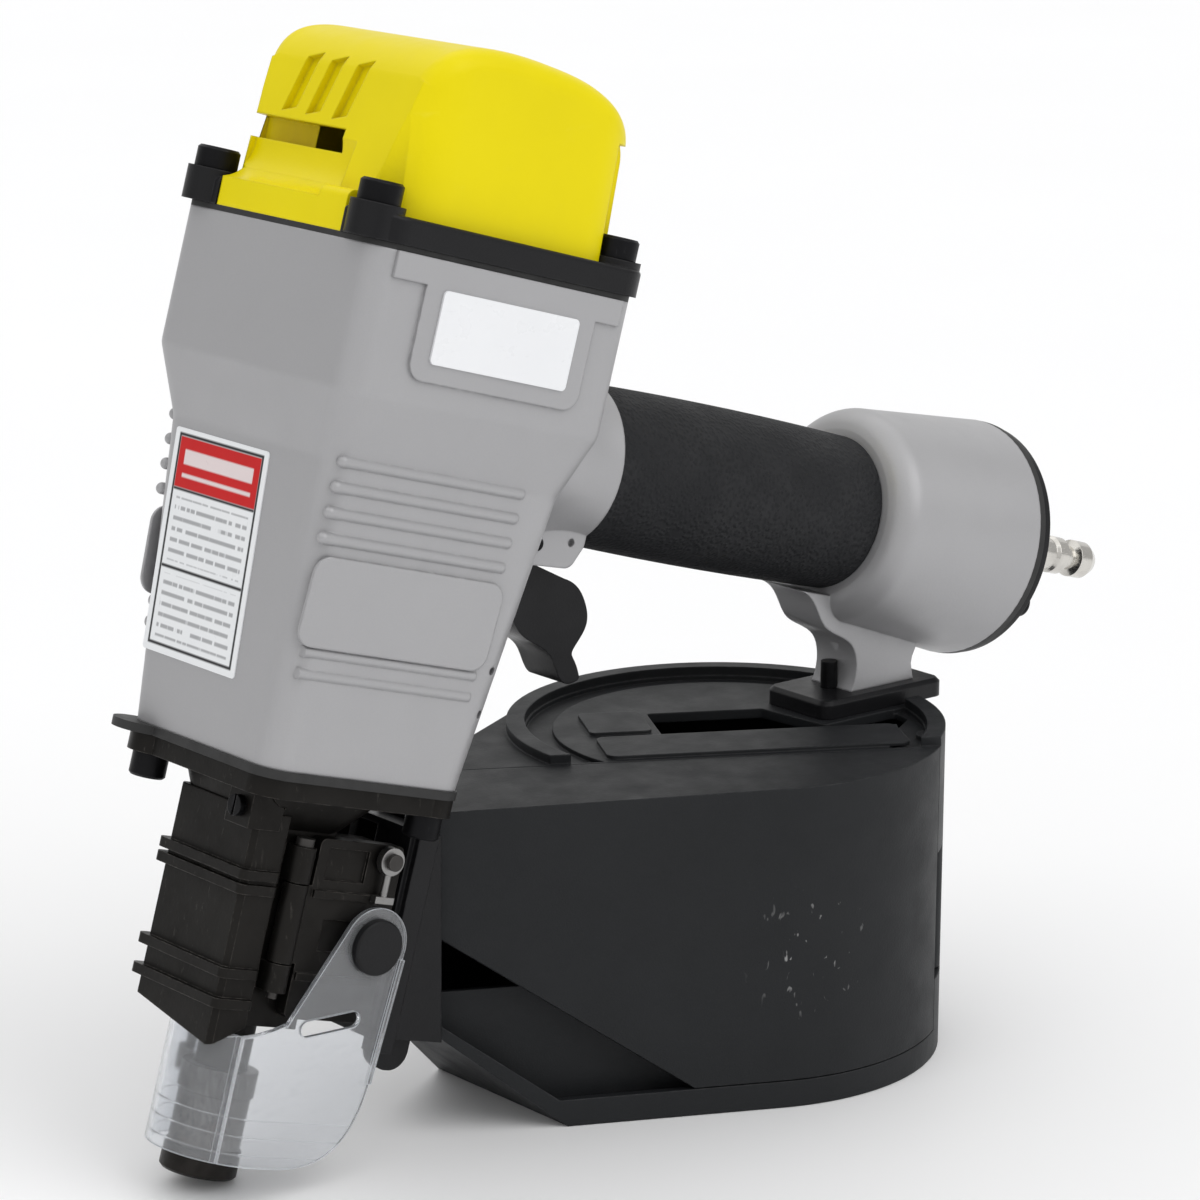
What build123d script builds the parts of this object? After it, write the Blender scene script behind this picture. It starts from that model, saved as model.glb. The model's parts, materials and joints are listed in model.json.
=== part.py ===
"""Pneumatic coil nail gun, standing on its nose and on the flat base of its drum magazine.

Two frames are used, both in millimetres. The driving unit (housing, handle, cap, nose and
everything in them) is drawn in the tool frame: the driver blade runs along Z with the nose
tip at z = 0, the handle points to +X, and the left side is -Y. The drum magazine is drawn
upright in the standing frame: floor at z = 0, drum axis on Z. The driving unit leans back
by lean_angle, so `lean` carries each of its pieces from the tool frame to the standing one.
"""
from build123d import *
from math import acos, atan2, cos, degrees, hypot, radians, sin
import os

os.makedirs("parts", exist_ok=True)

# ---- Driving dimensions -------------------------------------------------------------------
# Standing pose
lean_angle = 16.09          # driver axis against the vertical
tip_r = 11.0                # contact foot, outside
nose_x = -194.5             # nose tip in the standing frame

# Housing (tool frame)
body_bottom = 120.0         # joint with the nose
shoulder = 205.0            # end of the slim lower body
block_bottom = 224.0        # start of the square top block
body_top = 262.6            # joint with the cap
body_x = 3.5                # middle of the housing behind the driver axis
low_len, low_wide = 69.0, 68.8
mid_len, mid_wide = 83.0, 80.0
top_len, top_wide = 93.0, 92.0
corner_r = 8.0
bore_r = 28.5               # cylinder chamber
floor_t = 6.0

# Handle and bell
grip_z = 214.4              # handle axis height
grip_r = 24.0
grip_x0, grip_x1 = 77.0, 184.0
tube_r = 19.5
bell_x1 = 238.0
bell_r = 36.8
air_r = 14.0                # air passage in the handle
plug_end = 300.0

# Driver
sleeve_r, sleeve_in = 27.0, 24.0
piston_t = 12.0
blade_r = 3.4
blade_tip = 113.0
piston_bottom = 244.0
bumper_top = 142.0

# Nose
snout_r, channel_r = 7.6, 3.9
snout_end = 13.0
nose_front = -20.5
nose_half = 19.0
nose_bottom, nose_top = 46.0, 107.0
plate_bottom, plate_top = 112.0, 117.5
hinge_x, hinge_y = -3.0, -19.5
shield_y = -24.5

# Magazine (standing frame)
drum_r = 66.2
drum_h = 97.3
wall = 3.0
lip_h = 8.0
neck_x = -121.0             # front edge of the cover
neck_near, neck_far = -16.0, 12.0
cover_angle = -45.0         # hinge barrel round the drum
cover_gap = 0.4
arm_x0, arm_x1 = 43.0, 69.0 # foot of the bracket arm
arm_land = 103.0            # height of the arm's landing face
bracket_screws_x = (42.0, 56.0)

nose_z = tip_r * sin(radians(lean_angle))
lean = Location((nose_x, 0, nose_z), (0, lean_angle, 0))
upright = Location((0, 0, 0))


def save(piece, label, place=lean):
    """Move one finished sub-part to the standing frame and write it."""
    placed = piece.moved(place)
    placed.label = label
    export_step(placed, f"parts/{label}.step")


def tool_xz(x, z):
    """A point of the standing frame's XZ plane in the tool frame."""
    dx, dz = x - nose_x, z - nose_z
    c, s = cos(radians(lean_angle)), sin(radians(lean_angle))
    return dx * c - dz * s, dx * s + dz * c


def side_y(z):
    """Half-width of the tapering lower body at height z."""
    rise = (z - body_bottom) / (shoulder - body_bottom)
    return (low_wide + rise * (mid_wide - low_wide)) / 2


def front_x(z):
    """Front face of the tapering lower body at height z."""
    rise = (z - body_bottom) / (shoulder - body_bottom)
    low, mid = low_len / 2 - body_x + 1, mid_len / 2 - body_x
    return -(low + rise * (mid - low))


def socket_screw(x, y, seat, shank_r, length, head_r, head_h, down=False):
    """Socket-head cap screw whose head rests on `seat`; it points down unless told otherwise."""
    way = -1 if down else 1
    with BuildPart() as screw:
        with Locations((x, y, seat + way * head_h / 2)):
            Cylinder(head_r, head_h)
        rim = screw.faces().sort_by(Axis.Z)[-1 if way > 0 else 0]
        chamfer(rim.edges(), head_r * 0.12)
        with Locations((x, y, seat - way * length / 2)):
            Cylinder(shank_r, length)
        with BuildSketch(Plane.XY.offset(seat + way * head_h)):
            with Locations((x, y)):
                RegularPolygon(head_r * 0.52, 6)
        extrude(amount=-way * head_h * 0.6, mode=Mode.SUBTRACT)
    return screw.part


def coil_spring(mean_r, wire_r, low, high, turns, x=0, y=0):
    """Compression spring along Z."""
    with BuildPart() as spring:
        with BuildLine(Plane.XY.offset(low)) as path:
            Helix((high - low) / turns, high - low, mean_r)
        with BuildSketch(Plane(path.line @ 0, z_dir=path.line % 0)):
            Circle(wire_r)
        sweep(is_frenet=True)
    return spring.part.moved(Location((x, y, 0)))


def o_ring(mean_r, wire_r, z):
    """Rubber ring round the Z axis."""
    with BuildPart() as ring:
        with BuildSketch(Plane.XZ):
            with Locations((mean_r, z)):
                Circle(wire_r)
        revolve(axis=Axis.Z)
    return ring.part


def group(pieces):
    """Separate solids that share one node."""
    return Compound(children=list(pieces))


# ---- Housing: one casting of body, handle tube, bell and bracket arm ----------------------
handle_axis = Axis((0, 0, grip_z), (1, 0, 0))
cap_bolts_xy = [(-39.5, -37.6), (-39.5, 37.6), (44.5, -37.6), (44.5, 37.6)]
nose_bolts_xy = [(-27.0, 26.0), (31.0, -26.0), (31.0, 26.0)]
valve_x = 68.0

with BuildPart() as housing:
    with BuildSketch(Plane.XY.offset(body_bottom)):
        with Locations((body_x - 1, 0)):
            RectangleRounded(low_len, low_wide, corner_r)
    with BuildSketch(Plane.XY.offset(shoulder)):
        with Locations((body_x, 0)):
            RectangleRounded(mid_len, mid_wide, corner_r)
    loft()
    with BuildSketch(Plane.XY.offset(shoulder)):
        with Locations((body_x, 0)):
            RectangleRounded(mid_len, mid_wide, corner_r)
    with BuildSketch(Plane.XY.offset(block_bottom)):
        with Locations((body_x, 0)):
            RectangleRounded(top_len, top_wide, corner_r)
    loft()
    with BuildSketch(Plane.XY.offset(block_bottom)):
        with Locations((body_x, 0)):
            RectangleRounded(top_len, top_wide, corner_r)
    extrude(amount=body_top - block_bottom)
    for level, radius in ((block_bottom, 6.0), (shoulder, 8.0)):
        fillet([e for e in housing.edges() if abs(e.center().Z - level) < 0.1], radius)
    # Collar between the body and the grip, then the handle tube inside the grip.
    with BuildSketch(Plane.XZ):
        with BuildLine():
            Polyline((30, grip_z), (30, grip_z + 29), (50, grip_z + 29))
            Spline((50, grip_z + 29), (60, grip_z + 25.2), (grip_x0 - 0.5, grip_z + 24.4))
            Polyline((grip_x0 - 0.5, grip_z + 24.4), (grip_x0 - 0.5, grip_z + tube_r),
                     (grip_x1 + 8, grip_z + tube_r), (grip_x1 + 8, grip_z), (30, grip_z))
        make_face()
    revolve(axis=handle_axis)
    # Bell at the end of the handle: rounded shoulder, then a slow flare to the rim.
    with BuildSketch(Plane.XZ):
        with BuildLine():
            Polyline((grip_x1 - 1.5, grip_z), (grip_x1 - 1.5, grip_z + 25.5))
            ThreePointArc((grip_x1 - 1.5, grip_z + 25.5), (grip_x1 + 1.2, grip_z + 30.8),
                          (grip_x1 + 7, grip_z + 33))
            Polyline((grip_x1 + 7, grip_z + 33), (bell_x1, grip_z + bell_r), (bell_x1, grip_z),
                     (grip_x1 - 1.5, grip_z))
        make_face()
    revolve(axis=handle_axis)
    # Two cheeks under the collar carry the trigger.
    with BuildSketch(Plane.XZ) as cheeks:
        with BuildLine():
            Polyline((40, 208), (76.5, 208), (76.5, 192), (73, 185), (52, 184), (40, 172), close=True)
        make_face()
        fillet(cheeks.vertices().sort_by(Axis.X)[-3:], 4)
    extrude(amount=15, both=True)
    # Bracket arm: from the bell's underside down to the magazine.
    with BuildSketch(Plane.XZ) as arm:
        with BuildLine():
            Spline((170, 189.8), (184, 180), tool_xz(arm_x0 + 0.5, arm_land + 14),
                   tool_xz(arm_x0, arm_land), tangents=[(1, -0.1), (-0.35, -1)])
            Polyline(tool_xz(arm_x0, arm_land), tool_xz(arm_x1, arm_land),
                     tool_xz(arm_x1 - 1, arm_land + 5), (223, 176), (228, 200),
                     (183, 200), (183, 189.8), (170, 189.8))
        make_face()
    extrude(amount=9, both=True)
    # Ribs, raised panels and badge pad on both sides.
    for side in (-1, 1):
        for rib_z in (205, 198, 191, 184):
            y = side * (side_y(rib_z) - 0.6)
            with Locations((-3, y, rib_z)):
                Cylinder(1.7, 62, rotation=(0, 90, 0))
            with Locations((-34, y, rib_z), (28, y, rib_z)):
                Sphere(1.7)
        for rib_z in (153, 147):
            with Locations((-1, side * (side_y(rib_z) - 0.7), rib_z)):
                Cylinder(1.5, 60, rotation=(0, 90, 0))
        pad = Plane((5, side * top_wide / 2, 244.5), x_dir=(-side, 0, 0), z_dir=(0, side, 0))
        with BuildSketch(pad):
            RectangleRounded(60, 29, 5)
            with Locations((1.5 * side, 14.5)):
                Rectangle(80, 7.2)
        extrude(amount=0.9)
        low_panel = Plane((-2, side * side_y(167), 167), x_dir=(-side, 0, 0),
                          z_dir=(0, side, -0.066))
        with BuildSketch(low_panel):
            RectangleRounded(66, 25, 5)
        extrude(amount=0.9)
    # Chambers.
    with BuildSketch(Plane.XY.offset(body_top)):
        Circle(bore_r)
    extrude(amount=-(body_top - body_bottom - floor_t), mode=Mode.SUBTRACT)
    with BuildSketch(Plane.XY.offset(body_bottom)):
        Circle(22)
    extrude(amount=floor_t + 1, mode=Mode.SUBTRACT)
    with BuildSketch(Plane.XZ):
        with BuildLine():
            Polyline((20, grip_z), (20, grip_z + air_r), (grip_x1 + 6, grip_z + air_r),
                     (grip_x1 + 14, grip_z + 29), (bell_x1, grip_z + 32), (bell_x1, grip_z),
                     (20, grip_z))
        make_face()
    revolve(axis=handle_axis, mode=Mode.SUBTRACT)
    # Slot for the trigger and seat for its valve.
    with Locations((58, 0, 186)):
        Box(44.5, 18.6, 22, mode=Mode.SUBTRACT)
    with Locations((valve_x, 0, 200)):
        Cylinder(8.55, 16, mode=Mode.SUBTRACT)
    with Locations((59, 0, 190.5)):
        Cylinder(2.02, 40, rotation=(90, 0, 0), mode=Mode.SUBTRACT)
    for x in bracket_screws_x:
        hole_x, hole_z = tool_xz(x, arm_land + 5)
        with Locations(Location((hole_x, 0, hole_z), (0, -lean_angle, 0))):
            Cylinder(2.7, 18, mode=Mode.SUBTRACT)
    # Cross-pin holes in the cheeks and low on the rear corner.
    for x, z, span in ((71.5, 192.5, 31), (35.0, 155.1, 72.8), (35.0, 142.5, 71)):
        for side in (-1, 1):
            with Locations((x, side * span / 2, z)):
                Cylinder(1.2, 5, rotation=(90, 0, 0), mode=Mode.SUBTRACT)
    # Screw holes.
    with Locations(*[(x, y, body_top - 10) for x, y in cap_bolts_xy]):
        Cylinder(2.6, 20.2, mode=Mode.SUBTRACT)
    with Locations(*[(x, y, body_bottom + 5) for x, y in nose_bolts_xy]):
        Cylinder(2.6, 10.2, mode=Mode.SUBTRACT)
save(housing.part, "housing")

# ---- Grip and end of the handle -----------------------------------------------------------
with BuildPart() as grip_sleeve:
    with BuildSketch(Plane.XZ):
        with BuildLine():
            Polyline((grip_x0, grip_z + grip_r - 0.6), (grip_x0, grip_z + tube_r + 0.05),
                     (grip_x1 - 2, grip_z + tube_r + 0.05), (grip_x1 - 2, grip_z + grip_r - 0.6))
            Spline((grip_x1 - 2, grip_z + grip_r - 0.6),
                   ((grip_x0 + grip_x1) / 2, grip_z + grip_r + 0.3),
                   (grip_x0, grip_z + grip_r - 0.6))
        make_face()
    revolve(axis=handle_axis)
save(grip_sleeve.part, "grip_sleeve")

end_plane = Plane((bell_x1, 0, grip_z), x_dir=(0, 1, 0), z_dir=(1, 0, 0))
seal_t, cap_plate_t = 2.2, 4.0
end_screw_ring = 30.5

with BuildPart() as end_cap_seal:
    with BuildSketch(end_plane):
        Circle(bell_r)
        Circle(24, mode=Mode.SUBTRACT)
        with PolarLocations(end_screw_ring, 3, start_angle=90):
            Circle(2.6, mode=Mode.SUBTRACT)
    extrude(amount=seal_t)
save(end_cap_seal.part, "end_cap_seal")

with BuildPart() as end_cap:
    with BuildSketch(end_plane.offset(seal_t)):
        Circle(bell_r - 0.6)
    extrude(amount=cap_plate_t)
    chamfer(end_cap.faces().sort_by(Axis.X)[-1].edges(), 1.2)
    with BuildSketch(end_plane.offset(seal_t + cap_plate_t)):
        Circle(13)
    extrude(amount=9, taper=6)
    with BuildSketch(end_plane.offset(seal_t)):
        Circle(5.05)
        with PolarLocations(end_screw_ring, 3, start_angle=90):
            Circle(2.6)
    extrude(amount=20, mode=Mode.SUBTRACT)
save(end_cap.part, "end_cap")

screw_seat = bell_x1 + seal_t + cap_plate_t
end_cap_screws = []
for turn in (90, 210, 330):
    y, z = end_screw_ring * cos(radians(turn)), end_screw_ring * sin(radians(turn))
    with BuildPart() as end_screw:
        with BuildSketch(end_plane.offset(seal_t + cap_plate_t)):
            with Locations((y, z)):
                Circle(4.4)
        extrude(amount=2.6)
        fillet(end_screw.faces().sort_by(Axis.X)[-1].edges(), 1)
        with BuildSketch(end_plane.offset(seal_t + cap_plate_t)):
            with Locations((y, z)):
                Circle(2.5)
        extrude(amount=-(seal_t + cap_plate_t - 0.1))
        with BuildSketch(end_plane.offset(seal_t + cap_plate_t + 2.6)):
            with Locations((y, z)):
                RegularPolygon(2, 6)
        extrude(amount=-1.6, mode=Mode.SUBTRACT)
    end_cap_screws.append(end_screw.part)
save(group(end_cap_screws), "end_cap_screws")

# Quarter-inch air plug: thread, hexagon, neck, ball groove and nose.
boss_end = screw_seat + 9
with BuildPart() as air_plug:
    with BuildSketch(Plane.XZ):
        with BuildLine():
            Polyline((boss_end - 9, grip_z), (boss_end - 9, grip_z + 5), (boss_end, grip_z + 5),
                     (boss_end + 8, grip_z + 5), (boss_end + 9, grip_z + 6.6),
                     (boss_end + 13, grip_z + 6.6), (boss_end + 15, grip_z + 5),
                     (plug_end - 19, grip_z + 5), (plug_end - 18, grip_z + 5.9),
                     (plug_end - 14, grip_z + 5.9), (plug_end - 13, grip_z + 3.9),
                     (plug_end - 9, grip_z + 3.9), (plug_end - 8, grip_z + 5.9),
                     (plug_end - 3, grip_z + 5.9), (plug_end, grip_z + 4.2),
                     (plug_end, grip_z), (boss_end - 9, grip_z))
        make_face()
    revolve(axis=handle_axis)
    with BuildSketch(end_plane.offset(boss_end - bell_x1 + 0.2)):
        RegularPolygon(8, 6)
    extrude(amount=7)
    with BuildSketch(end_plane.offset(boss_end - bell_x1 - 9)):
        Circle(2.6)
    extrude(amount=plug_end - boss_end + 9, mode=Mode.SUBTRACT)
save(air_plug.part, "air_plug")

# ---- Cylinder, piston and driver ----------------------------------------------------------
sleeve_bottom = body_bottom + floor_t
sleeve_top = 256.0
with BuildPart() as cylinder_sleeve:
    with BuildSketch(Plane.XZ):
        with BuildLine():
            Polyline((sleeve_in, sleeve_bottom), (sleeve_r, sleeve_bottom), (sleeve_r, 236),
                     (bore_r - 0.1, 236), (bore_r - 0.1, 246), (sleeve_r, 248),
                     (sleeve_r, sleeve_top), (sleeve_in, sleeve_top), close=True)
        make_face()
    revolve(axis=Axis.Z)
    # Return-air ports: an upper row above the bumper.
    with Locations((0, 0, bumper_top + 6)):
        with PolarLocations(sleeve_r - 1.5, 8):
            Cylinder(2, 6, rotation=(0, 90, 0), mode=Mode.SUBTRACT)
save(cylinder_sleeve.part, "cylinder_sleeve")

with BuildPart() as piston:
    with BuildSketch(Plane.XZ):
        with BuildLine():
            Polyline((0, piston_bottom), (sleeve_in - 0.05, piston_bottom),
                     (sleeve_in - 0.05, piston_bottom + 4), (sleeve_in - 2.4, piston_bottom + 4),
                     (sleeve_in - 2.4, piston_bottom + 7), (sleeve_in - 0.05, piston_bottom + 7),
                     (sleeve_in - 0.05, piston_bottom + piston_t),
                     (14, piston_bottom + piston_t), (11, piston_bottom + piston_t - 3),
                     (0, piston_bottom + piston_t - 3), close=True)
        make_face()
    revolve(axis=Axis.Z)
save(piston.part, "piston")

with BuildPart() as piston_ring:
    with BuildSketch(Plane.XY.offset(piston_bottom + 4.1)):
        Circle(sleeve_in - 0.04)
        Circle(sleeve_in - 2.3, mode=Mode.SUBTRACT)
    extrude(amount=2.8)
save(piston_ring.part, "piston_ring")

with BuildPart() as driver_blade:
    with BuildSketch(Plane.XY.offset(blade_tip)):
        Circle(blade_r)
    extrude(amount=piston_bottom - blade_tip)
    chamfer(driver_blade.faces().sort_by(Axis.Z)[0].edges(), 0.4)
save(driver_blade.part, "driver_blade")

boss_top = body_bottom + 0.4
with BuildPart() as bumper:
    with BuildSketch(Plane.XZ):
        with BuildLine():
            Polyline((4.6, boss_top), (20.5, boss_top), (20.5, sleeve_bottom + 1),
                     (23.2, sleeve_bottom + 3), (23.2, sleeve_bottom + 9), (17, bumper_top - 1),
                     (15, bumper_top), (7, bumper_top), (4.6, bumper_top - 2), close=True)
        make_face()
    revolve(axis=Axis.Z)
save(bumper.part, "bumper")

# ---- Cap, its gasket, frame and screws, and the head valve --------------------------------
gasket_top = body_top + 1.6
with BuildPart() as cap_gasket:
    with BuildSketch(Plane.XY.offset(body_top)):
        with Locations((body_x, 0)):
            RectangleRounded(top_len, top_wide, corner_r)
        Circle(29.2, mode=Mode.SUBTRACT)
        with Locations(*cap_bolts_xy):
            Circle(2.8, mode=Mode.SUBTRACT)
    extrude(amount=gasket_top - body_top)
save(cap_gasket.part, "cap_gasket")

frame_top = 271.6
frame_len, frame_wide = 95.5, 94.0
cap_len, cap_wide = 87.0, 84.0
cap_x = 5.5
boss_r = 8.0
boss_z = 273.6
with BuildPart() as cap_frame:
    with BuildSketch(Plane.XY.offset(gasket_top)):
        with Locations((body_x + 0.8, 0)):
            RectangleRounded(frame_len, frame_wide, 9)
        with Locations((cap_x, 0)):
            RectangleRounded(cap_len + 0.4, cap_wide + 0.4, 19, mode=Mode.SUBTRACT)
        # Open at the front, where the cap's own flange shows.
        with Locations((-46, 0)):
            Rectangle(24, 58, mode=Mode.SUBTRACT)
    extrude(amount=frame_top - gasket_top)
    fillet(cap_frame.faces().sort_by(Axis.Z)[-1].edges(), 1.2)
    with BuildSketch(Plane.XY.offset(gasket_top)):
        with Locations(*cap_bolts_xy):
            Circle(boss_r - 0.4)
    extrude(amount=boss_z - gasket_top)
    with BuildSketch(Plane.XY.offset(gasket_top)):
        with Locations(*cap_bolts_xy):
            Circle(3.05)
    extrude(amount=boss_z - gasket_top, mode=Mode.SUBTRACT)
save(cap_frame.part, "cap_frame")

cap_front_low, cap_front_high = Vector(-36.5, 0, 277.0), Vector(-31.0, 0, 308.0)
ceiling = 303.0
with BuildPart() as cap:
    with BuildSketch(Plane.XY.offset(gasket_top)):
        with Locations((cap_x, 0)):
            RectangleRounded(cap_len, cap_wide, 19)
    extrude(amount=62, taper=3)
    # Side profile: steep front, slightly falling domed top, upright back.
    with BuildSketch(Plane.XZ):
        with BuildLine():
            Polyline((-39, gasket_top), (cap_front_low.X, cap_front_low.Z),
                     (cap_front_high.X, cap_front_high.Z))
            Spline((cap_front_high.X, cap_front_high.Z), (-25, 316), (-8, 320.6), (12, 320),
                   (30, 316.4), (42, 308), (46.8, 296))
            Polyline((46.8, 296), (60, 280), (60, gasket_top), (-39, gasket_top))
        make_face()
    extrude(amount=60, both=True, mode=Mode.INTERSECT)
    fillet(cap.edges().filter_by(lambda e: e.center().Z > 300 and abs(e.center().Y) > 15), 6)
    # Flange at the front, between the screw bosses.
    with BuildSketch(Plane.XY.offset(gasket_top)):
        with Locations((-26, 0)):
            Rectangle(34, 57.2)
    extrude(amount=11.5)
    fillet(cap.edges().filter_by(Axis.Y).filter_by(
        lambda e: abs(e.center().X + 43) < 0.1 and e.center().Z > 270), 2.5)
    # Pockets round the screws.
    with BuildSketch(Plane.XY.offset(gasket_top)):
        with Locations(*cap_bolts_xy):
            Circle(boss_r)
    extrude(amount=40, mode=Mode.SUBTRACT)
    # Scoop and exhaust windows in the front.
    with Locations((-45.5, 7, 284)):
        Cylinder(12, 46, rotation=(90, 0, 0), mode=Mode.SUBTRACT)
    with Locations((-34, 3, 288), (-34, 27, 288)):
        Box(20, 25, 6.5, mode=Mode.SUBTRACT)
    # Louvres above the windows, cut into the sloping front.
    front_dir = (cap_front_high - cap_front_low).normalized()
    front_normal = Vector(-front_dir.Z, 0, front_dir.X)
    middle = cap_front_low + front_dir * 25.5
    for y in (17, 6, -6):
        louvre = Plane(middle + Vector(0, y, 0), x_dir=(0, 1, 0), z_dir=front_normal)
        with BuildSketch(louvre) as slit:
            with BuildLine():
                Polyline((-4.4, -9), (1.6, -7), (4.4, 9), (-1.6, 7.5), close=True)
            make_face()
        extrude(amount=-2.2, mode=Mode.SUBTRACT)
        extrude(slit.sketch, amount=4, mode=Mode.SUBTRACT)
    # Head-valve chamber with its central guide.
    with BuildSketch(Plane.XY.offset(gasket_top)):
        Circle(bore_r)
    extrude(amount=ceiling - gasket_top, mode=Mode.SUBTRACT)
    with BuildSketch(Plane.XY.offset(286)):
        Circle(14)
        Circle(10.3, mode=Mode.SUBTRACT)
    extrude(amount=ceiling - 286)
save(cap.part, "cylinder_cap")

save(group(socket_screw(x, y, boss_z, 2.55, 21, 6, 6)
           for x, y in cap_bolts_xy), "cap_bolts")

with BuildPart() as head_valve:
    with BuildSketch(Plane.XZ):
        with BuildLine():
            Polyline((9, sleeve_top + 0.5), (27, sleeve_top + 0.5), (27, 261), (26, 261),
                     (26, 263), (27, 263), (27, 266), (22, 268),
                     (10, 268), (10, 290), (6, 290), (6, 268), (4, 266), (4, 260), close=True)
        make_face()
    revolve(axis=Axis.Z)
save(head_valve.part, "head_valve")
save(o_ring(27.05, 0.9, 262), "head_valve_seal")
save(coil_spring(19, 1.3, 269.5, 292.5, 4), "head_valve_spring")

# ---- Nose ---------------------------------------------------------------------------------
plate_x = 2.0
funnel_bottom = 100.0
ear = Vector(-18.5, -14.5, 106.4)    # screw ear of the nose cover
with BuildPart() as nose_gasket:
    with BuildSketch(Plane.XY.offset(plate_top)):
        with Locations((body_x - 1, 0)):
            RectangleRounded(low_len + 1.6, low_wide + 1.6, corner_r + 0.8)
        with Locations((-30, 28)):
            Circle(9)
        Circle(21.2, mode=Mode.SUBTRACT)
        with Locations(*nose_bolts_xy):
            Circle(2.8, mode=Mode.SUBTRACT)
    extrude(amount=body_bottom - plate_top)
save(nose_gasket.part, "nose_gasket")

rail_x1 = 31.0              # rear end of the nail guide
knuckle_r, pin_r = 3.6, 1.5
body_knuckles = [(88.0, 98.0), (57.0, 65.0)]
door_knuckles = [(65.4, 87.6)]
rod_x, rod_y = 4.0, 23.5    # contact rod beside the nose
rod_r = 2.0
lug_z0, lug_z1 = 56.0, 62.0

with BuildPart() as nose_body:
    with BuildSketch(Plane.XY.offset(plate_bottom)):
        with Locations((plate_x, 0)):
            RectangleRounded(66, 65, 8)
        with Locations(*nose_bolts_xy):
            Circle(7)
    extrude(amount=plate_top - plate_bottom)
    with BuildSketch(Plane.XY.offset(plate_top)):
        Circle(21)
    extrude(amount=boss_top - plate_top)
    # Webbed funnel down to the guide block.
    with BuildSketch(Plane.XY.offset(plate_bottom)):
        RectangleRounded(42, 46, 8)
    with BuildSketch(Plane.XY.offset(funnel_bottom)):
        with Locations((-4, 0)):
            RectangleRounded(30, 30, 5)
    loft()
    with BuildSketch(Plane.XY.offset(nose_bottom)):
        with Locations((0.5, 0)):
            Rectangle(19, 2 * nose_half - 6)
        # Far guide wall of the nail track.
        with Locations(((rail_x1 + 10) / 2, 8.5)):
            Rectangle(rail_x1 - 10, 7)
    extrude(amount=nose_top - nose_bottom)
    with BuildSketch(Plane.XY.offset(snout_end)):
        Circle(snout_r)
    extrude(amount=nose_bottom - snout_end)
    chamfer(nose_body.faces().sort_by(Axis.Z)[0].edges(), 1.2)
    # Hinge knuckles and the guide lug of the contact rod.
    for low, high in body_knuckles:
        with Locations((hinge_x, hinge_y, (low + high) / 2)):
            Cylinder(knuckle_r, high - low)
        with Locations((hinge_x, hinge_y + 3, (low + high) / 2)):
            Box(2 * knuckle_r, 6, high - low)
    with Locations((rod_x, 20, (lug_z0 + lug_z1) / 2)):
        Box(10, 14, lug_z1 - lug_z0)
    # Driver channel, feed slot to the rear, window for the feed pawl.
    with Locations((0, 0, (snout_end + boss_top) / 2)):
        Cylinder(channel_r, boss_top - snout_end + 2, mode=Mode.SUBTRACT)
    with Locations((6, 0, 77)):
        Box(12, 8.4, 54, mode=Mode.SUBTRACT)
    with Locations((20, 8.5, 76)):
        Box(15, 9, 12, mode=Mode.SUBTRACT)
    with Locations(*[(x, y, plate_bottom + 3) for x, y in nose_bolts_xy]):
        Cylinder(2.8, 12, mode=Mode.SUBTRACT)
    with Locations((hinge_x, hinge_y, 77)):
        Cylinder(pin_r + 0.02, 44, mode=Mode.SUBTRACT)
    with Locations(ear):
        Box(11.6, 11.6, 11.2, mode=Mode.SUBTRACT)
    # Clearance round the door's knuckle, and the rod's hole.
    for low, high in door_knuckles:
        with Locations((hinge_x, hinge_y, (low + high) / 2)):
            Cylinder(knuckle_r + 0.4, high - low + 0.8, mode=Mode.SUBTRACT)
    with Locations((rod_x, rod_y, (lug_z0 + lug_z1) / 2)):
        Cylinder(rod_r + 0.1, 8, mode=Mode.SUBTRACT)
save(nose_body.part, "nose_body")
save(group(socket_screw(x, y, plate_bottom, 2.55, 16, 5.2, 7, down=True)
           for x, y in nose_bolts_xy), "nose_bolts")

cover_back = -9.2
with BuildPart() as nose_cover:
    with BuildSketch(Plane.XY.offset(39)):
        with BuildLine():
            Polyline((cover_back, -nose_half), (nose_front + 1.5, -nose_half),
                     (nose_front, -nose_half + 1.5), (nose_front, nose_half - 1.5),
                     (nose_front + 1.5, nose_half), (cover_back, nose_half), close=True)
        make_face()
    extrude(amount=nose_top - 1 - 39)
    # Ribs that wrap round the front and both sides.
    for rib_z in (88.5, 84.5, 61, 52.5):
        with BuildSketch(Plane.XY.offset(rib_z - 1.4)):
            with Locations(((nose_front - 2 + cover_back) / 2, 0)):
                RectangleRounded(cover_back - nose_front + 2, 2 * nose_half + 3.6, 2)
        extrude(amount=2.8)
    # Sloping lower edge.
    lower = Plane((nose_front, -nose_half, 40), z_dir=(-228, -69, 437))
    split(bisect_by=lower, keep=Keep.TOP)
    # Room for the funnel of the nose body.
    with BuildSketch(Plane.XY.offset(plate_bottom)):
        RectangleRounded(42.4, 46.4, 8)
    with BuildSketch(Plane.XY.offset(funnel_bottom)):
        with Locations((-4, 0)):
            RectangleRounded(30.4, 30.4, 5)
    loft(mode=Mode.SUBTRACT)
    with Locations(ear):
        Box(11, 11, 10.4)
    with Locations((0, 0, 73)):
        Cylinder(snout_r + 0.4, 70, mode=Mode.SUBTRACT)
    with Locations((hinge_x, hinge_y, 75)):
        Cylinder(knuckle_r + 0.5, 70, mode=Mode.SUBTRACT)
    with Locations(ear):
        Cylinder(1.8, 14, rotation=(0, 90, 0), mode=Mode.SUBTRACT)
save(nose_cover.part, "nose_cover")

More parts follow.
